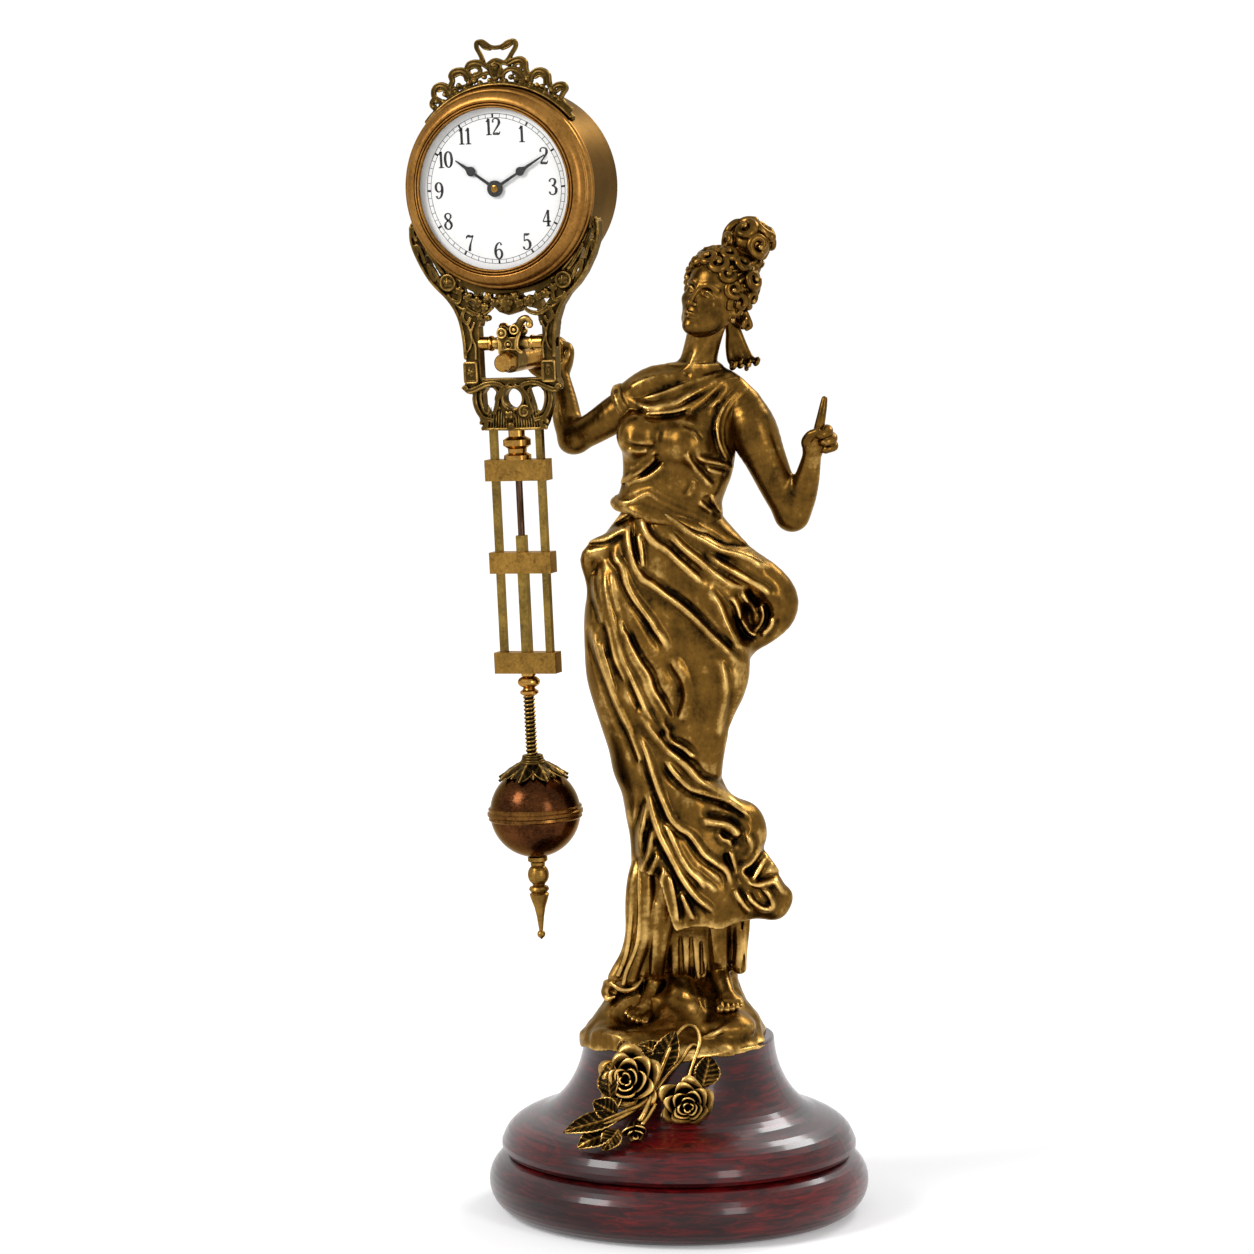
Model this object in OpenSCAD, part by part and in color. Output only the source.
/* [Wooden base] */
// Widest diameter of the turned base
base_d = 232; // [193:1:290]
// Height of the turned base with its felt
base_h = 108; // [90:1:130]
// Diameter of the flat top of the base
base_top_d = 116; // [112:1:140]
// Thickness of the felt under the base
felt_t = 1.2; // [0.8:0.1:3]
// Radius of the stud that holds the figure to the base
stud_r = 3; // [2.5:0.1:4]

/* [Figure] */
// Height of the rock above the base
mound_h = 24; // [20:1:30]
// Turn of the figure against the base
figure_turn = 21.8; // [15:0.1:30]
// Radius of the stud that the raised hand holds
bracket_r = 6.5; // [5:0.1:7]
// Radius of the spindle that the arm swings on
spindle_r = 2.5; // [2:0.1:3]

/* [Swinging arm] */
// Place of the crossbar's middle, to the left of the base's axis
pivot_left = 93.4; // [91:0.1:96]
// Place of the crossbar's middle, in front of the base's axis
pivot_front = 38; // [36:0.5:40]
// Height of the crossbar's middle above the top of the rock
pivot_rise = 398.1; // [396:0.1:400]
// Lean of the arm at rest, bottom to the right
lean = 2.9; // [0:0.1:4]
// Depth of the spindle below the crossbar
spindle_drop = 11; // [9:0.5:12]
// Height of the dial's middle above the crossbar
head_z = 93; // [91:0.5:97]
// Thickness of the pierced frame and the crest
casting_t = 9; // [7:0.5:10]
// Radius of the crossbar
crossbar_r = 1.5; // [1.2:0.1:1.8]

/* [Clock head] */
// Outer radius of the drum
drum_r = 58; // [57:0.5:60]
// Wall of the drum
drum_wall = 1.2; // [0.8:0.1:2]
// Depth of the drum from its front edge to the back cover
drum_depth = 42; // [40:1:50]
// Outer radius of the bezel
bezel_r = 60.2; // [59.6:0.1:62]
// Radius of the dial opening in the bezel
opening_r = 48.2; // [46:0.1:50]
// Length of the minute hand from its middle to its tip
minute_len = 38; // [30:1:42]
// Length of the hour hand from its middle to its tip
hour_len = 30.5; // [20:0.5:34]
// Angle of the minute hand from twelve, clockwise
minute_angle = 60; // [0:1:359]

/* [Pendulum] */
// Width of the three cross blocks
block_w = 40; // [36:1:50]
// Depth of the three cross blocks, front to back
block_d = 10; // [8:0.5:14]
// Height of the three cross blocks
block_h = 12.8; // [10:0.2:16]
// Side of the square outer rods
rod_w = 4.2; // [3:0.1:5]
// Distance of an outer rod from the middle
rod_x = 15; // [13:0.5:16]
// Radius of the round ball
ball_r = 27.5; // [22:0.5:34]
// Depth of the ball's middle below the crossbar
ball_drop = 284.6; // [282:0.5:300]
// Length of the finial under the ball
finial_len = 52; // [46:1:60]

/* [Fits] */
// Running clearance on the radius of a turning fit
run_fit = 0.05; // [0.03:0.01:0.08]
// Gap between faces that pass each other
face_gap = 0.3; // [0.2:0.05:0.5]
// Backlash of the wheel teeth
backlash = 0.12; // [0.1:0.01:0.2]

/* [Hidden] */
$fn = 64;
bronze = "#7a5a26";
dark_bronze = "#5a421e";
brass = "#b08d45";
steel = "#8b8f94";
wood = "#4a0d10";

// The figure and its roses are drawn on a base 108 high with a rock 24 high
rose_fall = (base_h - 62) / 46;
figure_lift = base_h + mound_h - 132;
pivot_at = [-pivot_left, -pivot_front, base_h + mound_h + pivot_rise];

// Depths along Y in the arm's own frame, front is negative
casting_back = 4;
casting_front = casting_back - casting_t;
drum_front = -6;
drum_back = drum_front + drum_depth;
bezel_front = -19;
dial_y = -13;
dial_t = 0.8;
glass_back = -15.5;
glass_t = 1.5;
glass_r = opening_r + 1.3;
drum_in = drum_r - drum_wall;
plate_r = 50;
plate_t = 1.4;
front_plate_back = drum_front;
front_plate_y = front_plate_back - plate_t;
back_plate_y = 14;
back_plate_back = back_plate_y + plate_t;
flange_in = 47;
pillar_r = 2;
pillar_at = 44;
foot_at = 40;
foot_r = 1.2;
foot_angles = [60, 180, 300];
screw_angles = [30, 150, 270];
screw_at = 50.5;
front_plate_r = screw_at + 3.5;
flange_t = 1.5;

// Train: number of teeth, module, and the arbors' places round the centre arbor
great_n = 60;
inter_pinion_n = 10;
great_m = 0.72;
inter_n = 60;
centre_pinion_n = 10;
inter_m = 0.6;
centre_n = 64;
third_pinion_n = 8;
centre_m = 0.5;
third_n = 64;
escape_pinion_n = 8;
third_m = 0.47;
escape_n = 40;
escape_r = 11;
cannon_n = 10;
minute_n = 30;
minute_pinion_n = 8;
hour_n = 32;
motion_m = 0.6;
inter_angle = -30;
third_angle = 130;
minute_wheel_angle = 200;
inter_at = (inter_n + centre_pinion_n) * inter_m / 2 * [cos(inter_angle), sin(inter_angle)];
barrel_gap = (great_n + inter_pinion_n) * great_m / 2;
barrel_at = [0, inter_at.y - sqrt(pow(barrel_gap, 2) - pow(inter_at.x, 2))];
third_at = (centre_n + third_pinion_n) * centre_m / 2 * [cos(third_angle), sin(third_angle)];
escape_gap = (third_n + escape_pinion_n) * third_m / 2;
escape_at = [0, third_at.y + sqrt(pow(escape_gap, 2) - pow(third_at.x, 2))];
pallet_at = escape_at + [0, 13.5];
motion_at = (cannon_n + minute_n) * motion_m / 2 * [cos(minute_wheel_angle), sin(minute_wheel_angle)];
arbor_r = 1;
winding_r = 2.5;
click_at = barrel_at + [10.5, 6];
cannon_r = 2.1;
hour_pipe_r = 3.2;

// Pendulum grid, heights in the arm's own frame
frame_foot = -52;
block_tops = [-70, -126, -186.8];
sleeve_top = -116;
sleeve_w = 5.6;
steel_rod_r = 2.1;
ferrule_len = 13.5;
block_foot = block_tops[2] - block_h;
thread_top = block_foot - ferrule_len;
thread_foot = -252;
thread_r = 3.7;
rod_r = 2.5;
cap_bore_r = 4.2;
ball_z = -ball_drop;
cap_top = ball_z + ball_r + 13.5;
shell_t = 1.2;
rating_travel = 3;
finial_top = ball_z - ball_r - face_gap + 1.4;
rod_foot = finial_top - 24;

// Base outline: a bell that runs into a step and a round roll
base_r = base_d / 2;
top_r = base_top_d / 2;
roll_h = 37;
roll_r = 18;
step_r = base_r - 7.8;
mound_foot = base_h + face_gap / 3;

function bezier(a, b, c, d, n) = [
    for (i = [1:n])
        let (t = i / n, s = 1 - t)
            s * s * s * a + 3 * s * s * t * b + 3 * s * t * t * c + t * t * t * d
];
function arc(c, rx, ry, a0, a1, n) = [
    for (i = [0:n]) let (a = a0 + (a1 - a0) * i / n) c + [rx * cos(a), ry * sin(a)]
];
function blend4(a, b, c, d, t) =
    0.5 * (2 * b + (c - a) * t + (2 * a - 5 * b + 4 * c - d) * t * t
        + (3 * b - a - 3 * c + d) * t * t * t);
function smooth(list, u) =
    let (n = len(list), i = min(floor(u), n - 2), t = u - i)
        blend4(list[max(i - 1, 0)], list[i], list[i + 1], list[min(i + 2, n - 1)], t);

module along_y(y0, y1) {
    translate([0, y1, 0]) rotate([90, 0, 0]) linear_extrude(y1 - y0) children();
}

module disc_y(at, r, y0, y1) {
    translate([at.x, y1, at.y]) rotate([90, 0, 0]) cylinder(r = r, h = y1 - y0);
}

module turned_y(points) {
    rotate([-90, 0, 0]) rotate_extrude($fn = 96) polygon(points);
}

module turned_z(points) {
    rotate_extrude($fn = 96) polygon(points);
}

module on_arm() {
    translate(pivot_at) rotate([0, -lean, 0]) children();
}

module on_head() {
    on_arm() translate([0, 0, head_z]) children();
}

module on_figure() {
    rotate([0, 0, figure_turn]) translate([0, 0, figure_lift]) children();
}

// Spindle frame: origin on the swing axis, in the saddle's depth
module on_spindle() {
    translate(pivot_at + [sin(lean) * spindle_drop, 0, -cos(lean) * spindle_drop]) children();
}

// A limb as a row of blended balls, each [x, y, z, radius]
module limb(balls) {
    for (i = [0:len(balls) - 2])
        hull() {
            for (b = [balls[i], balls[i + 1]])
                translate([b[0], b[1], b[2]]) sphere(r = b[3], $fn = 12);
        }
}

// A closed skin through oval stations, each [z, middle x, middle y, half width, half depth]
module skin(stations, rings, sides, fold, folds, twist) {
    n = len(stations) - 1;
    points = [
        for (j = [0:rings])
            let (s = smooth(stations, n * j / rings), depth = fold * sin(180 * j / rings))
                for (i = [0:sides - 1])
                    let (a = 360 * i / sides, k = 1 + depth * sin(folds * a + twist * j / rings))
                        [s[1] + s[3] * k * cos(a), s[2] + s[4] * k * sin(a), s[0]]
    ];
    walls = [
        for (j = [0:rings - 1], i = [0:sides - 1], half = [0, 1])
            let (a = j * sides + i, b = j * sides + (i + 1) % sides)
                half == 0 ? [a, b, b + sides] : [a, b + sides, a + sides]
    ];
    foot = [for (i = [0:sides - 1]) i];
    top = [for (i = [sides - 1:-1:0]) rings * sides + i];
    polyhedron(points = points, faces = concat(walls, [foot, top]), convexity = 6);
}

// Wooden base
function base_outline() = concat(
    [[0, 0]],
    arc([base_r - roll_r, roll_h / 2], roll_r, roll_h / 2, -90, 90, 16),
    [[step_r - 2, roll_h]],
    [[step_r - 1.2, 38.2], [step_r, 39.6], [step_r, 42.6], [step_r - 1.6, 46.5]],
    bezier([step_r - 1.6, 46.5], [step_r - 5, 55], [step_r - 14, 58], [top_r + 26, 61.5], 6),
    bezier([top_r + 26, 61.5], [top_r + 11, 68], [top_r + 0.6, base_h - 20],
        [top_r, base_h - 1.6], 12),
    [[top_r - 0.5, base_h - 0.5], [top_r - 1.6, base_h], [0, base_h]]
);

module wooden_base() {
    color(wood)
        difference() {
            rotate_extrude($fn = 128) polygon(base_outline());
            translate([0, 0, -1]) cylinder(r = base_r, h = felt_t + 1);
            translate([0, 0, -1]) cylinder(r = stud_r + 0.5, h = base_h + 2);
            translate([0, 0, -1]) cylinder(r = stud_r + 11, h = 19);
        }
}

module base_felt() {
    color("#26352a") cylinder(r = base_r - roll_r, h = felt_t);
}

module fixing_stud() {
    color(steel) translate([0, 0, 6]) cylinder(r = stud_r, h = base_h + mound_h / 2 - 6);
}

module fixing_washer() {
    color(steel)
        translate([0, 0, 16.4])
            difference() {
                cylinder(r = stud_r + 7, h = 1.6);
                translate([0, 0, -1]) cylinder(r = stud_r + 0.3, h = 4);
            }
}

module fixing_nut() {
    color(steel)
        translate([0, 0, 11.4])
            difference() {
                cylinder(r = stud_r * 1.9, h = 5, $fn = 6);
                translate([0, 0, -1]) cylinder(r = stud_r + run_fit, h = 7);
            }
}

// Rock that carries the figure
module mound_solid() {
    rotate([0, 0, figure_turn])
        skin([
            [mound_foot, -2, -1, 55, 52],
            [base_h + mound_h * 0.22, -2, -1, 53, 49],
            [base_h + mound_h * 0.5, 0, -2, 47, 43],
            [base_h + mound_h * 0.78, 4, -4, 38, 35],
            [base_h + mound_h, 6, -4, 26, 22]
        ], 7, 32, 0.05, 7, 260);
}

module rock_mound() {
    color(dark_bronze)
        difference() {
            mound_solid();
            cylinder(r = stud_r + run_fit, h = base_h + mound_h / 2 + 0.5);
        }
}

// Figure in its own frame: X to the right, Y away, seen from the side that it faces
module torso() {
    skin([
        [183, 16, 0, 43, 28], [193, 17, 0, 47, 30], [215, 12, 0, 43, 29], [240, 9, 0, 42, 28],
        [262, -4, 0, 33, 26], [283, -10, 0, 32, 27], [315, -9, 0, 41, 32],
        [350, -10, 0, 46, 35], [385, -9, 0, 42, 33], [412, -7, 1, 34, 26],
        [432, -5, 2, 31, 22], [452, 0, 1, 35, 26], [470, 0, -2, 38, 29],
        [485, 2, 0, 37, 24], [499, 6, 2, 37, 18], [510, 9, 3, 24, 13], [515, 10, 3, 13, 10]
    ], 38, 36, 0.035, 9, 900);
}

module figure_body() {
    hip_wing = [
        [350, 34, 2, 8, 8], [366, 44, 0, 22, 12], [384, 45, -4, 27, 13], [398, 36, -5, 22, 12],
        [418, 20, -4, 8, 8]
    ];
    hip_tail = [
        [384, -46, -2, 6, 5], [398, -49, -3, 10, 6], [408, -46, -4, 10, 6], [420, -36, -4, 6, 6]
    ];
    hem_curl = [
        [178, 46, -2, 10, 9], [192, 51, -4, 17, 12], [207, 48, -4, 13, 11], [226, 44, -4, 11, 10],
        [250, 38, -2, 8, 8]
    ];
    left_leg = [[-11, -4, 200, 9], [-11, -5, 184, 7.5], [-14, -4, 150, 5], [-16, -5, 138, 6]];
    left_foot = [[-16, -5, 138, 6], [-26, -24, 127, 4]];
    right_leg = [[20, -2, 196, 9], [21, -4, 174, 7], [24, -4, 152, 5], [25, -5, 144, 6]];
    right_foot = [[25, -5, 144, 6], [28, -24, 135, 4.5]];
    color(bronze)
        difference() {
            on_figure() {
                torso();
                skin(hip_wing, 10, 20, 0.08, 4, 90);
                skin(hip_tail, 8, 16, 0.05, 3, 60);
                skin(hem_curl, 10, 20, 0.08, 4, 90);
                limb([[-24, -24, 430, 8], [-16, -27, 428, 7]]);
                limb(left_leg);
                limb(left_foot);
                limb(right_leg);
                limb(right_foot);
                skin([
                    [122, 0, 14, 46, 14], [140, 0, 14, 42, 14], [160, 2, 13, 38, 14],
                    [190, 8, 10, 38, 14]
                ], 6, 32, 0.16, 8, 60);
            }
            mound_solid();
        }
}

// The head is a plain oval under a mass of put-up hair
module head_solid() {
    on_figure() {
        limb([[12, 3, 508, 12], [13, 2, 528, 10.6], [20, 0, 548, 12]]);
        translate([15, -10, 553]) rotate([0, 24, 20]) scale([1, 1, 1.3]) sphere(r = 15.5, $fn = 20);
        hull() {
            translate([26, 4, 566]) sphere(r = 22, $fn = 20);
            translate([30, 10, 556]) sphere(r = 20, $fn = 20);
        }
        for (a = [-70:20:70])
            translate([22 + 25 * sin(a), -12 + 14 * (1 - cos(a)), 566 + 9 * cos(a)])
                sphere(r = 6, $fn = 10);
        hull() {
            translate([39, 4, 589]) sphere(r = 13, $fn = 16);
            translate([39, 4, 594.5]) sphere(r = 13, $fn = 16);
        }
        limb([[40, 8, 545, 6], [36, 6, 530, 6], [44, 4, 519, 6]]);
        limb([[36, 8, 548, 6], [30, 6, 532, 5], [34, 3, 517, 5]]);
    }
}

module figure_head() {
    color(bronze)
        difference() {
            head_solid();
            on_figure() torso();
        }
}

module bracket_bar(extra) {
    on_spindle() disc_y([0, 0], bracket_r + extra, 8 + face_gap, 66);
}

module right_arm() {
    shoulder = [[-26, 2, 495, 13], [-44, 8, 482, 12], [-62, 19, 466, 9.6]];
    forearm = [[-62, 19, 466, 9.6], [-69, 31, 488, 8], [-74.5, 43, 508, 5.4]];
    palm = [[-75, 45, 512, 6], [-76, 52, 519, 10], [-80, 52, 521, 10]];
    color(bronze)
        difference() {
            on_figure() {
                limb(shoulder);
                limb(forearm);
                limb(palm);
                limb([[-75, 48, 530, 4], [-86, 50, 531, 4]]);
                limb([[-75, 56, 531, 4], [-86, 58, 530, 4]]);
            }
            on_figure() torso();
            bracket_bar(0.15);
        }
}

module left_arm() {
    upper = [[45, 2, 490, 12.5], [57, 2, 462, 11], [67, 1, 426, 9.4]];
    forearm = [[67, 1, 426, 9.4], [73, -8, 445, 7.6], [78, -17, 463, 5.6]];
    fist = [[79, -18, 466, 6], [82, -21, 474, 8.5], [87, -22, 476, 6.5]];
    color(bronze)
        difference() {
            on_figure() {
                limb(upper);
                limb(forearm);
                limb(fist);
                limb([[84, -24, 479, 3.2], [84.5, -24, 489, 2.6], [84, -24, 498, 1.8]]);
                limb([[76, -22, 476, 3], [80, -26, 481, 2.6]]);
            }
            on_figure() torso();
        }
}

// Points of the roses, whose fall below the top of the base shortens with a lower base
function on_base(points) = [
    for (p = points) [p.x, p.y, base_h + (p.z - 108) * rose_fall, p[3]]
];

// Two roses, a bud and leaves that hang from the rock over the front of the base
module rose_spray() {
    stems = [[-12, -44, 120, 3], [-24, -56, 113, 3], [-30, -62, 104, 4]];
    loop = [[6, -44, 122, 2.6], [18, -50, 119, 2.6], [20, -56, 106, 2.6], [8, -62, 96, 3]];
    tail = [[-30, -62, 104, 4], [-26, -74, 86, 4], [-32, -84, 75, 5]];
    leaves = [[-32, -84, 75, 5], [-50, -81, 71, 4], [-64, -77, 74, 1.6]];
    tip = [[-34, -86, 73, 4], [-44, -88, 68, 1.6]];
    color(bronze)
        difference() {
            rotate([0, 0, figure_turn]) {
                limb(on_base(stems));
                limb(on_base(loop));
                limb(on_base(tail));
                limb(on_base(leaves));
                limb(on_base(tip));
                limb(on_base([[-24, -56, 112, 4], [-42, -58, 104, 2]]));
                limb(on_base([[-10, -60, 102, 4], [8, -62, 96, 3]]));
                for (rose = on_base([[-30, -62, 100, 14.5], [3, -67, 90, 12.5], [-30, -85, 75, 8]]))
                    translate([rose[0], rose[1], rose[2]]) {
                        sphere(r = rose[3] * 0.8, $fn = 12);
                        for (a = [0:72:288])
                            rotate([60, 0, 0])
                                rotate([0, 0, a])
                                    translate([rose[3] * 0.5, 0, 0])
                                        sphere(r = rose[3] * 0.5, $fn = 8);
                    }
            }
            mound_solid();
            rotate_extrude($fn = 48)
                polygon([
                    for (p = base_outline()) [p.x > 0 ? p.x + 2 * face_gap : 0, p.y + face_gap]
                ]);
        }
}

// Stud in the hand, with the spindle that the arm hangs on
module hand_bracket() {
    color(brass)
        on_spindle() {
            disc_y([0, 0], bracket_r, 8 + face_gap, 66);
            disc_y([0, 0], spindle_r, -12, 9);
        }
}

module spindle_nut() {
    color(brass)
        on_spindle()
            difference() {
                turned_y([
                    [0, -17], [4.6, -17], [5.5, -16], [5.5, -8], [4.6, -7], [4.6, -6 - face_gap],
                    [0, -6 - face_gap]
                ]);
                disc_y([0, 0], spindle_r + run_fit, -12.5, 0);
            }
}

// Saddle and crossbar: the arm nods on the crossbar, the saddle swings on the spindle
module saddle() {
    color(bronze)
        on_arm()
            difference() {
                union() {
                    along_y(-6, 8) {
                        translate([-6, -spindle_drop - 6]) square([12, spindle_drop + 13]);
                        translate([0, -spindle_drop]) circle(r = 7);
                    }
                    translate([-11.9, 0, 0]) rotate([0, 90, 0]) cylinder(r = 4, h = 23.8);
                    translate([-9, -4, 5]) cube([18, 10, 4.5]);
                }
                disc_y([0, -spindle_drop], spindle_r + run_fit, -7, 9);
                translate([-20, 0, 0]) rotate([0, 90, 0]) cylinder(r = crossbar_r + 0.01, h = 40);
                for (x = [-5.5, 5.5])
                    translate([x, 1, 5.5]) cylinder(r = 1.25, h = 5);
            }
}

module crossbar() {
    color(steel) on_arm() translate([-20.5, 0, 0]) rotate([0, 90, 0]) cylinder(r = crossbar_r, h = 41);
}

module saddle_screws() {
    color(brass)
        on_arm()
            for (x = [-5.5, 5.5])
                translate([x, 1, 0]) {
                    translate([0, 0, 6]) cylinder(r = 1.2, h = 4);
                    turned_z([[0, 9.5], [3, 9.5], [3, 10.6], [1.9, 12], [0, 12.4]]);
                }
}

module pivot_collars() {
    color(brass)
        on_arm()
            for (s = [-1, 1])
                difference() {
                    rotate([0, 90 * s, 0])
                        turned_z([
                            [0, 12.2], [4.2, 12.2], [4.7, 12.8], [4.7, 14], [4.2, 14.6],
                            [4.2, 20.5], [2.5, 20.5], [2.5, 27], [0, 27]
                        ]);
                    rotate([0, 90 * s, 0]) cylinder(r = crossbar_r + run_fit, h = 22);
                }
}

// Pierced frame: outline of the right half, from the cradle's tip to the foot
cradle_end = -21;
cradle_step = 6;
cradle_r = (drum_r + run_fit) / cos(cradle_step / 2);
function frame_half() = concat(
    [for (a = [-90:cradle_step:-24]) [0, head_z] + cradle_r * [cos(a), sin(a)]],
    [[0, head_z] + 59.2 * [cos(cradle_end), sin(cradle_end)]],
    bezier([60.5, 72.5], [62.5, 60], [55, 44], [49, 33], 5),
    bezier([49, 33], [42, 24], [33, 14], [31, 4], 4),
    [[31, -24], [31, -29], [25, -30]],
    bezier([25, -30], [26.5, -40], [21, -50], [17, frame_foot], 4),
    [[0, frame_foot]]
);

module frame_outline() {
    for (s = [0, 1]) mirror([s, 0]) polygon(frame_half());
}

module swing_frame() {
    cradle_holes = [[49, 57, 2.2], [45.5, 47, 2.6], [41, 38, 3], [34, 27, 3.2]];
    foot_holes = [[17, -37, 3.6], [12.5, -35, 3]];
    color(bronze)
        on_arm()
            difference() {
                union() {
                    along_y(casting_front, casting_back) frame_outline();
                    for (s = [-1, 1]) {
                        translate([s * 25.7 - 4.1, casting_front - 1, -23.4]) cube([8.2, 2, 12.8]);
                        disc_y([s * 37, 33], 5.5, casting_front - 2, casting_back);
                    }
                    for (a = [-120, -105, -90, -75, -60])
                        disc_y([0, head_z] + 66 * [cos(a), sin(a)], 4.6, casting_front - 2.4, casting_back);
                }
                along_y(casting_front - 4, casting_back + 1) {
                    translate([-20.5, -20.5]) square([41, 33.5]);
                    circle(r = 6.2);
                    translate([0, -33]) circle(r = 5.6);
                    for (s = [0, 1])
                        mirror([s, 0])
                            for (h = concat(cradle_holes, foot_holes))
                                translate([h[0], h[1]]) circle(r = h[2]);
                }
                along_y(casting_front - 4, casting_front + 1)
                    translate([0, head_z]) circle(r = bezel_r + face_gap);
                for (s = [-1, 1])
                    rotate([0, 90 * s, 0]) cylinder(r = 2.5 + run_fit, h = 29);
            }
}

// Crest: a low band of scrolls on the drum with an open bow on top
module crest() {
    seat = drum_r + run_fit;
    knots = [[0, 69, 6.6], [11.5, 67.5, 6], [22, 67, 5.6], [31.5, 66, 5.2], [40, 65, 4.8], [48, 64, 4.2]];
    bow = [[4, 73], [9, 81], [14, 87.5], [5, 86], [0, 84]];
    color(bronze)
        on_head()
            difference() {
                along_y(casting_front, casting_back - 2) {
                    intersection() {
                        difference() {
                            circle(r = seat + 4.6);
                            circle(r = seat);
                        }
                        polygon([[0, 0], [78, 78], [0, 120], [-78, 78]]);
                    }
                    for (s = [0, 1])
                        mirror([s, 0]) {
                            for (k = knots)
                                rotate(-k[0])
                                    translate([0, k[1]])
                                        difference() {
                                            circle(r = k[2]);
                                            circle(r = k[2] - 3.2);
                                        }
                            for (i = [0:len(bow) - 2])
                                bar2(bow[i], bow[i + 1], 2.8);
                        }
                }
                disc_y([0, 0], seat, casting_front - 1, casting_back);
                disc_y([0, 0], bezel_r + face_gap, casting_front - 1, casting_front + 1);
            }
}

// A flat bar with round ends between two points
module bar2(p, q, w) {
    d = q - p;
    translate(p) rotate(atan2(d.y, d.x)) translate([0, -w / 2]) square([norm(d), w]);
    translate(p) circle(d = w + 0.4);
    translate(q) circle(d = w + 0.4);
}

// Clock case
module case_drum() {
    color(bronze)
        on_head()
            difference() {
                disc_y([0, 0], drum_r, drum_front, drum_back);
                disc_y([0, 0], drum_in, drum_front + flange_t, drum_back + 1);
                disc_y([0, 0], flange_in, drum_front - 1, drum_back);
                for (a = screw_angles)
                    disc_y(screw_at * [cos(a), sin(a)], 0.9, drum_front - 3, 0);
            }
}

module bezel() {
    color(bronze)
        on_head()
            difference() {
                turned_y([
                    [drum_r + run_fit, drum_front + 2], [bezel_r - 1, drum_front + 2],
                    [bezel_r, drum_front + 1], [bezel_r, drum_front - 1],
                    [bezel_r - 0.8, drum_front - 2], [bezel_r - 0.6, drum_front - 4],
                    [bezel_r - 1.6, drum_front - 7], [bezel_r - 4, drum_front - 10],
                    [bezel_r - 6.4, drum_front - 12.4], [bezel_r - 8, bezel_front],
                    [opening_r + 1, bezel_front], [opening_r, bezel_front + 1],
                    [opening_r, glass_back], [opening_r + 6, glass_back + 1],
                    [drum_r - 3, drum_front - face_gap / 3], [drum_r + run_fit, drum_front]
                ]);
                disc_y([0, 0], glass_r + run_fit, glass_back - glass_t, glass_back + 8);
            }
}

module dial_glass() {
    color("white", 0.2) on_head() disc_y([0, 0], glass_r, glass_back - glass_t + 0.01, glass_back);
}

module dial() {
    dial_back = dial_y + dial_t;
    color("white")
        on_head()
            difference() {
                union() {
                    disc_y([0, 0], glass_r + 1, dial_y, dial_back);
                    for (a = foot_angles)
                        disc_y(foot_at * [cos(a), sin(a)], foot_r, dial_y + 0.1, front_plate_back);
                }
                disc_y([0, 0], hour_pipe_r + face_gap, dial_y - 1, dial_back + 1);
            }
}

module back_cover() {
    color(dark_bronze)
        on_head()
            difference() {
                turned_y([
                    [0, drum_back], [drum_in - run_fit - 1.2, drum_back],
                    [drum_in - run_fit - 1.2, drum_back - 3], [drum_in - run_fit, drum_back - 3],
                    [drum_in - run_fit, drum_back], [drum_r, drum_back], [drum_r, drum_back + 1],
                    [drum_r - 0.5, drum_back + 1.5], [0, drum_back + 1.5]
                ]);
                disc_y([0, 0], arbor_r + face_gap, drum_back - 1, drum_back + 2);
                disc_y(barrel_at, winding_r + 1.2, drum_back - 1, drum_back + 2);
            }
}

// Movement plates
module bearing_holes(y0, y1) {
    for (at = [[0, 0], inter_at, third_at, escape_at, pallet_at])
        disc_y(at, arbor_r + run_fit, y0, y1);
    disc_y(barrel_at, winding_r + run_fit, y0, y1);
}

module pillar_places() {
    for (a = [55, 125, 200, 340]) {
        translate([pillar_at * cos(a), 0, pillar_at * sin(a)]) children();
    }
}

module front_plate() {
    color(brass)
        on_head() {
            difference() {
                disc_y([0, 0], front_plate_r, front_plate_y, front_plate_back);
                bearing_holes(front_plate_y - 1, front_plate_back + 1);
                for (a = foot_angles)
                    disc_y(foot_at * [cos(a), sin(a)], foot_r + run_fit, front_plate_y - 1, 0);
                for (a = screw_angles)
                    disc_y(screw_at * [cos(a), sin(a)], 0.9, front_plate_y - 1, 0);
            }
            disc_y(motion_at, 1.2, -11.8, front_plate_y);
        }
}

module back_plate() {
    color(brass)
        on_head()
            difference() {
                disc_y([0, 0], plate_r, back_plate_y, back_plate_back);
                bearing_holes(back_plate_y - 1, back_plate_back + 1);
                disc_y(click_at, 1.2, back_plate_y - 1, back_plate_back + 1);
            }
}

module plate_pillars() {
    color(brass)
        on_head() pillar_places() disc_y([0, 0], pillar_r, front_plate_back, back_plate_y);
}

module movement_screws() {
    color(steel)
        on_head()
            for (a = screw_angles) {
                disc_y(screw_at * [cos(a), sin(a)], 0.85, front_plate_y - 0.1, drum_front + 1.2);
                disc_y(screw_at * [cos(a), sin(a)], 1.8, front_plate_y - 1, front_plate_y);
            }
}

// Wheel work: involute teeth as [angle, radius] flanks
function inv(a) = tan(a) * 180 / PI - a;
pressure = 25;
function flank(m, n, r) =
    let (rb = m * n / 2 * cos(pressure), a = r > rb ? acos(rb / r) : 0)
        90 / n - backlash / 2 / (m * n / 2) * 180 / PI + inv(pressure) - inv(a);
function tooth_points(m, n, phase) =
    let (rp = m * n / 2, radii = [rp - 0.95 * m, rp, rp + 0.75 * m])
        [
            for (i = [0:n - 1])
                for (k = [0:5])
                    let (
                        r = radii[k < 3 ? k : 5 - k],
                        a = phase + 360 * i / n + (k < 3 ? -1 : 1) * flank(m, n, r)
                    )
                        [r * cos(a), r * sin(a)]
        ];

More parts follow.
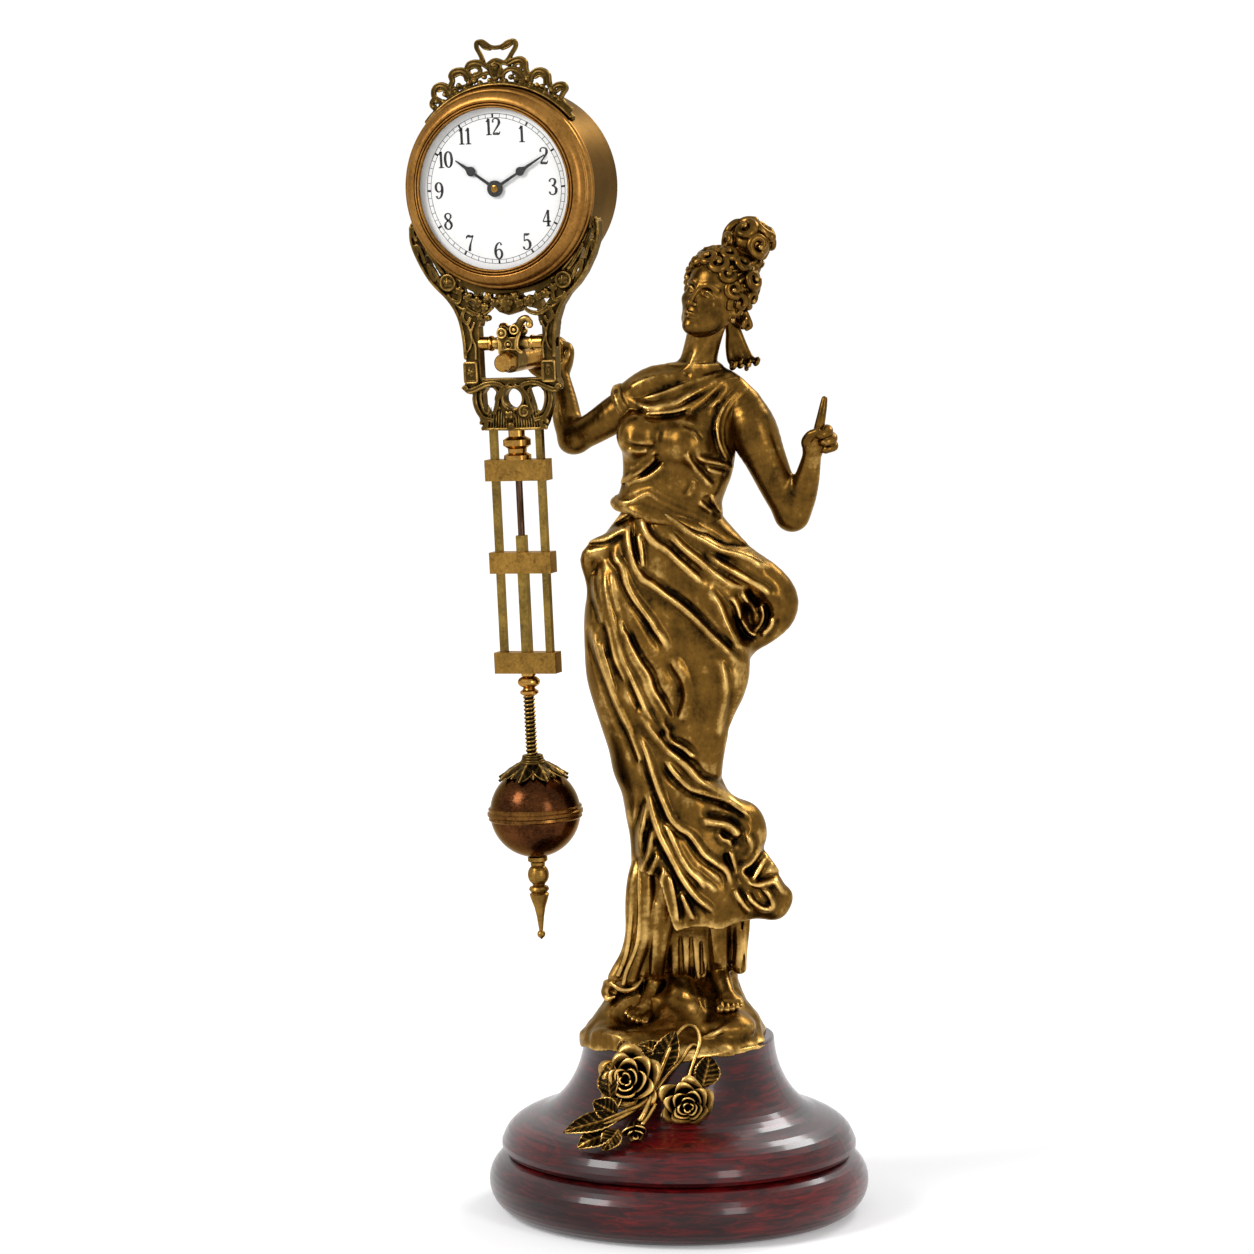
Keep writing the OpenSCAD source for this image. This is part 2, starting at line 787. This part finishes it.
// Phase of a driven wheel, so that its gap meets the tooth of its driver at angle th
function mate(phase, driver_n, driven_n, th) =
    th + 180 - (phase - th) * driver_n / driven_n + 180 / driven_n;

module toothed(at, m, n, phase, y0, y1) {
    translate([at.x, 0, at.y]) along_y(y0, y1) polygon(tooth_points(m, n, phase));
}

// A wheel crossed out with round windows
module crossed(at, m, n, phase, y0, y1) {
    rim = m * n / 2 - 1.6 * m - 1;
    difference() {
        toothed(at, m, n, phase, y0, y1);
        if (rim > 8)
            for (a = [0:72:288])
                disc_y(at + 0.6 * rim * [cos(a), sin(a)], 0.27 * rim, y0 - 1, y1 + 1);
    }
}

inter_phase = mate(0, centre_pinion_n, inter_n, inter_angle);
inter_to_barrel = atan2(barrel_at.y - inter_at.y, barrel_at.x - inter_at.x);
great_phase = mate(0, inter_pinion_n, great_n, inter_to_barrel);
third_phase = mate(0, centre_n, third_pinion_n, third_angle);
third_to_escape = atan2(escape_at.y - third_at.y, escape_at.x - third_at.x);
escape_phase = mate(0, third_n, escape_pinion_n, third_to_escape);
minute_phase = mate(0, cannon_n, minute_n, minute_wheel_angle);
hour_phase = mate(0, minute_pinion_n, hour_n, minute_wheel_angle + 180);

module centre_wheel() {
    color(brass)
        on_head() {
            crossed([0, 0], centre_m, centre_n, 0, 12.2, 13.2);
            toothed([0, 0], inter_m, centre_pinion_n, 0, -5, -3.2);
            disc_y([0, 0], arbor_r, -15, drum_back + 6);
        }
}

module cannon_pinion() {
    color(steel)
        on_head()
            difference() {
                union() {
                    toothed([0, 0], motion_m, cannon_n, 0, -9.7, front_plate_y - 0.3);
                    disc_y([0, 0], cannon_r, -14.6, -9.6);
                }
                disc_y([0, 0], arbor_r + run_fit, -16, -7);
            }
}

module setting_knob() {
    color(brass)
        on_head()
            difference() {
                disc_y([0, 0], 5, drum_back + 2, drum_back + 7);
                disc_y([0, 0], arbor_r + run_fit, drum_back + 1, drum_back + 6.1);
            }
}

module minute_wheel() {
    color(brass)
        on_head()
            difference() {
                union() {
                    crossed(motion_at, motion_m, minute_n, minute_phase, -9.6, -8.5);
                    toothed(motion_at, motion_m, minute_pinion_n, 0, -11.5, -9.5);
                }
                disc_y(motion_at, 1.2 + run_fit, -13, -7);
            }
}

module hour_wheel() {
    color(brass)
        on_head()
            difference() {
                union() {
                    toothed([0, 0], motion_m, hour_n, hour_phase, -11.4, -10.4);
                    disc_y([0, 0], hour_pipe_r, -13.9, -10.4);
                }
                disc_y([0, 0], cannon_r + run_fit, -15, -9);
            }
}

// A spade hand: a slim stem, a round swell and a long point
module hand_plate(length, swell_at, swell_r, bore, y0, y1, angle) {
    rotate([0, angle, 0])
        difference() {
            along_y(y0, y1) {
                circle(r = 4.9);
                polygon([[-1, 0], [1, 0], [0.7, swell_at], [-0.7, swell_at]]);
                translate([0, swell_at]) circle(r = swell_r);
                polygon([
                    [-swell_r, swell_at], [swell_r, swell_at], [swell_r * 0.35, swell_at + 4],
                    [0.35, length], [-0.35, length], [-swell_r * 0.35, swell_at + 4]
                ]);
            }
            disc_y([0, 0], bore, y0 - 1, y1 + 1);
        }
}

module hour_hand() {
    color("black")
        on_head() hand_plate(hour_len, 18.6, 2.9, cannon_r + 0.1, -14.3, -13.9, 300 + minute_angle / 12);
}

module minute_hand() {
    color("black")
        on_head() hand_plate(minute_len, 19.4, 2.7, arbor_r + 0.1, -15, -14.6, minute_angle);
}

module hand_nut() {
    color(brass)
        on_head() turned_y([[0, -15.4], [1.6, -15.4], [2.2, -15.2], [2.2, -15], [0, -15]]);
}

module mainspring_barrel() {
    color(brass)
        on_head()
            difference() {
                union() {
                    toothed(barrel_at, great_m, great_n, great_phase, -1.5, 0);
                    disc_y(barrel_at, 19, 0, 11.5);
                }
                disc_y(barrel_at, winding_r + run_fit, -3, 13);
                disc_y(barrel_at, 17.8, 1, 10.5);
            }
}

// Coiled strip of spring steel between the arbor and the barrel wall
spring_turns = 7;
spring_in = 4.6;
spring_grow = 12.8;
function spring_edge(off) = [
    for (i = [0:spring_turns * 24])
        let (a = 15 * i, r = spring_in + spring_grow * i / (spring_turns * 24) + off)
            r * [cos(a), sin(a)]
];

module mainspring() {
    outer = spring_edge(0.35);
    color(steel)
        on_head()
            translate([barrel_at.x, 0, barrel_at.y])
                along_y(1.3, 10.2)
                    polygon(concat(spring_edge(0), [for (i = [len(outer) - 1:-1:0]) outer[i]]));
}

module intermediate_wheel() {
    color(brass)
        on_head() {
            crossed(inter_at, inter_m, inter_n, inter_phase, -4.6, -3.4);
            toothed(inter_at, great_m, inter_pinion_n, 0, -2, 0.4);
            disc_y(inter_at, arbor_r, front_plate_y, back_plate_back);
        }
}

module third_wheel() {
    color(brass)
        on_head() {
            crossed(third_at, third_m, third_n, 0, 8, 9);
            toothed(third_at, centre_m, third_pinion_n, third_phase, 11.8, 13.5);
            disc_y(third_at, arbor_r, front_plate_y, back_plate_back);
        }
}

module escape_wheel() {
    tooth = 1.5;
    color(brass)
        on_head() {
            translate([escape_at.x, 0, escape_at.y])
                along_y(2, 3)
                    polygon([
                        for (i = [0:escape_n - 1], k = [0, 1])
                            let (a = 360 * (i + 0.75 * k) / escape_n, r = escape_r - tooth * k)
                                [r * cos(a), r * sin(a)]
                    ]);
            toothed(escape_at, third_m, escape_pinion_n, escape_phase, 7.6, 9.4);
            disc_y(escape_at, arbor_r, front_plate_y, back_plate_back);
        }
}

// Pallets hang over the wheel from their own arbor, which also carries the short pendulum
module pallet_anchor() {
    drop = pallet_at.y - escape_at.y;
    reach = acos(escape_r / drop);
    nib = (escape_r + 0.6 + 0.8) * [sin(reach), cos(reach)] - [0, drop];
    color(steel)
        on_head() {
            translate([pallet_at.x, 0, pallet_at.y])
                along_y(2, 3.2) {
                    circle(r = 2.2);
                    for (s = [-1, 1])
                        bar2([0, 0], [s * nib.x, nib.y], 1.6);
                }
            disc_y(pallet_at, arbor_r, front_plate_y, 20.5);
        }
}

module inner_pendulum() {
    bob_up = 12;
    color(brass)
        on_head()
            difference() {
                union() {
                    disc_y(pallet_at, 3, 17.5, 20.5);
                    disc_y([0, bob_up], 6.5, 16.5, 21.5);
                    translate([0, 19, bob_up]) cylinder(r = 0.9, h = pallet_at.y - bob_up - 2);
                }
                disc_y(pallet_at, arbor_r + 0.02, 17, 22);
            }
}

module winding_arbor() {
    color(steel)
        on_head() {
            disc_y(barrel_at, winding_r, front_plate_y, drum_back - 3);
            disc_y(barrel_at, spring_in - 0.1, 1.3, 10.2);
            translate([barrel_at.x - 1.6, drum_back - 4, barrel_at.y - 1.6]) cube([3.2, 9, 3.2]);
        }
}

ratchet_n = 24;
ratchet_r = 8;
ratchet_y = back_plate_back + 0.4;
module ratchet_wheel() {
    color(steel)
        on_head()
            difference() {
                translate([barrel_at.x, 0, barrel_at.y])
                    along_y(ratchet_y, ratchet_y + 1.2)
                        polygon([
                            for (i = [0:ratchet_n - 1], k = [0, 1])
                                let (a = 360 * (i + 0.9 * k) / ratchet_n, r = ratchet_r - 1 * k)
                                    [r * cos(a), r * sin(a)]
                        ]);
                disc_y(barrel_at, winding_r + 0.02, ratchet_y - 1, ratchet_y + 2);
            }
}

module click() {
    d = barrel_at - click_at;
    nose = barrel_at - (ratchet_r + 0.95) * d / norm(d);
    color(steel)
        on_head() {
            along_y(ratchet_y, ratchet_y + 1.2) {
                translate(click_at) circle(r = 1.8);
                bar2(click_at, nose, 1.6);
            }
            disc_y(click_at, 1.15, back_plate_y + 0.2, ratchet_y);
        }
}

// Pendulum grid
module upper_ferrule() {
    color(brass)
        on_arm()
            turned_z([
                [0, frame_foot], [5, frame_foot], [5, -56], [8.4, -58], [8.4, -61.5], [5.8, -63.5],
                [5.6, -66], [8.3, -67.4], [8.3, block_tops[0]], [0, block_tops[0]]
            ]);
}

module block(top) {
    color(brass)
        on_arm()
            difference() {
                translate([-block_w / 2, -block_d / 2, top - block_h]) cube([block_w, block_d, block_h]);
                side_rod_shapes(run_fit);
                centre_sleeve_shape(run_fit);
                centre_rod_shape(run_fit);
            }
}

module side_rod_shapes(extra) {
    w = rod_w + 2 * extra;
    top = frame_foot - (extra > 0 ? 0 : face_gap / 3);
    for (s = [-1, 1])
        translate([s * rod_x - w / 2, -w / 2, block_foot + 4 - extra])
            cube([w, w, top - block_foot - 4 + extra]);
}

module centre_rod_shape(extra) {
    foot = sleeve_top - 8 - extra;
    translate([0, 0, foot]) cylinder(r = steel_rod_r + extra, h = block_tops[0] - 4 + extra - foot);
}

module centre_sleeve_shape(extra) {
    w = sleeve_w + 2 * extra;
    foot = block_foot + 4 - extra;
    translate([-w / 2, -w / 2, foot]) cube([w, w, sleeve_top - foot]);
}

module upper_block() {
    block(block_tops[0]);
}

module middle_block() {
    block(block_tops[1]);
}

module lower_block() {
    block(block_tops[2]);
}

module side_rods() {
    color(brass) on_arm() side_rod_shapes(0);
}

module centre_rod() {
    color(dark_bronze) on_arm() centre_rod_shape(0);
}

module centre_sleeve() {
    color(brass)
        on_arm()
            difference() {
                centre_sleeve_shape(0);
                centre_rod_shape(run_fit);
            }
}

module lower_ferrule() {
    z = block_foot;
    color(brass)
        on_arm()
            difference() {
                turned_z(concat(
                    [[0, z], [4.4, z], [4.4, z - 1.6]],
                    arc([0, z - 5.4], 6.9, 4, 60, -60, 8),
                    [[4, z - 10], [5.6, z - 11], [5.6, z - 12.4], [4.2, thread_top], [0, thread_top]]
                ));
                translate([0, 0, thread_top - 1]) cylinder(r = rod_r + run_fit, h = 9);
            }
}

// Rod with turned rings above the ball and a plain end through it
module threaded_rod() {
    pitch = 2;
    turns = floor((thread_top - thread_foot) / pitch);
    color(brass)
        on_arm()
            turned_z(concat(
                [[0, thread_top + 7], [rod_r, thread_top + 7], [rod_r, thread_top - face_gap]],
                [
                    for (i = [0:turns - 1], k = [0:2])
                        [k == 1 ? thread_r : 2.9, thread_top - face_gap - pitch * (i + k / 2.2)]
                ],
                [[rod_r, thread_foot - 1], [rod_r, rod_foot + 1], [rod_r - 0.6, rod_foot], [0, rod_foot]]
            ));
}

module leaf_cap() {
    petals = 8;
    color(bronze)
        on_arm()
            difference() {
                union() {
                    turned_z([
                        [0, cap_top], [6.4, cap_top], [7.6, cap_top - 1.4], [7, cap_top - 3],
                        [9, cap_top - 5], [15, cap_top - 9.5], [17, ball_z + 20], [0, ball_z + 20]
                    ]);
                    for (i = [0:petals - 1])
                        rotate([0, 0, 360 * i / petals])
                            translate([14.2, 0, ball_z + 22]) sphere(r = 3.8);
                }
                translate([0, 0, ball_z]) sphere(r = ball_r + 0.02, $fn = 96);
                translate([0, 0, ball_z]) cylinder(r = cap_bore_r, h = 60);
            }
}

module bob_shells() {
    color(dark_bronze)
        on_arm()
            translate([0, 0, ball_z])
                for (s = [0, 1])
                    mirror([0, 0, s])
                        difference() {
                            sphere(r = ball_r, $fn = 96);
                            sphere(r = ball_r - shell_t, $fn = 96);
                            translate([0, 0, 0.02 - 2 * ball_r]) cylinder(r = 2 * ball_r, h = 2 * ball_r);
                            cylinder(r = s == 0 ? cap_bore_r : rod_r + face_gap, h = 2 * ball_r);
                        }
}

module bob_band() {
    r = ball_r + 0.01;
    color(brass)
        on_arm()
            translate([0, 0, ball_z])
                difference() {
                    turned_z([
                        [r - 2, -4], [r + 0.2, -4], [r + 1, -3.2], [r + 0.7, -1.6], [r + 1.6, -0.8],
                        [r + 1.6, 0.8], [r + 0.7, 1.6], [r + 1, 3.2], [r + 0.2, 4], [r - 2, 4]
                    ]);
                    sphere(r = r, $fn = 96);
                }
}

// Cast weight inside the ball, with the sleeve that slides on the rod
module bob_core() {
    in_r = ball_r - shell_t - 0.1;
    color("#3a3a3c")
        on_arm()
            translate([0, 0, ball_z])
                difference() {
                    sphere(r = in_r, $fn = 96);
                    translate([0, 0, -in_r]) cylinder(r = rod_r + run_fit, h = 2 * in_r);
                    translate([0, 0, in_r - 9]) cylinder(r = cap_bore_r, h = 10);
                    translate([0, 0, in_r - 3]) cylinder(r = in_r, h = 10);
                    translate([0, 0, -in_r - 7]) cylinder(r = in_r, h = 10);
                }
}

module rating_nut() {
    z = finial_top;
    color(brass)
        on_arm()
            difference() {
                turned_z(concat(
                    [[0, z], [6, z - 1.2], [6, z - 3.4], [4.4, z - 4.6], [4.4, z - 6]],
                    arc([1.6, z - 12], 4.9, 6.2, 60, -60, 8),
                    [
                        [3.6, z - 18.6], [5.6, z - 19.4], [6.2, z - 20.8], [5.6, z - 22],
                        [4.6, z - 22.6], [6, z - 24], [5.6, z - 25.4], [4.8, z - 28]
                    ],
                    [[3.4, z - 32], [2.2, z - 38], [1.5, z - finial_len + 8], [1.2, z - finial_len + 5.6]],
                    arc([0, z - finial_len + 3.4], 2.5, 2.5, 50, -60, 6),
                    [[0, z - finial_len]]
                ));
                translate([0, 0, rod_foot - rating_travel - 1]) cylinder(r = rod_r + run_fit, h = 60);
                translate([0, 0, ball_z]) sphere(r = ball_r + face_gap / 3, $fn = 96);
            }
}

wooden_base();
base_felt();
fixing_stud();
fixing_nut();
fixing_washer();
rock_mound();
figure_body();
figure_head();
right_arm();
left_arm();
rose_spray();
hand_bracket();
spindle_nut();
saddle();
crossbar();
saddle_screws();
swing_frame();
crest();
pivot_collars();
case_drum();
bezel();
dial_glass();
dial();
back_cover();
front_plate();
back_plate();
plate_pillars();
movement_screws();
upper_ferrule();
upper_block();
middle_block();
lower_block();
side_rods();
centre_rod();
centre_sleeve();
lower_ferrule();
threaded_rod();
leaf_cap();
bob_shells();
bob_band();
bob_core();
rating_nut();
minute_hand();
hand_nut();
cannon_pinion();
centre_wheel();
setting_knob();
hour_hand();
hour_wheel();
minute_wheel();
mainspring_barrel();
mainspring();
intermediate_wheel();
third_wheel();
escape_wheel();
pallet_anchor();
inner_pendulum();
winding_arbor();
ratchet_wheel();
click();
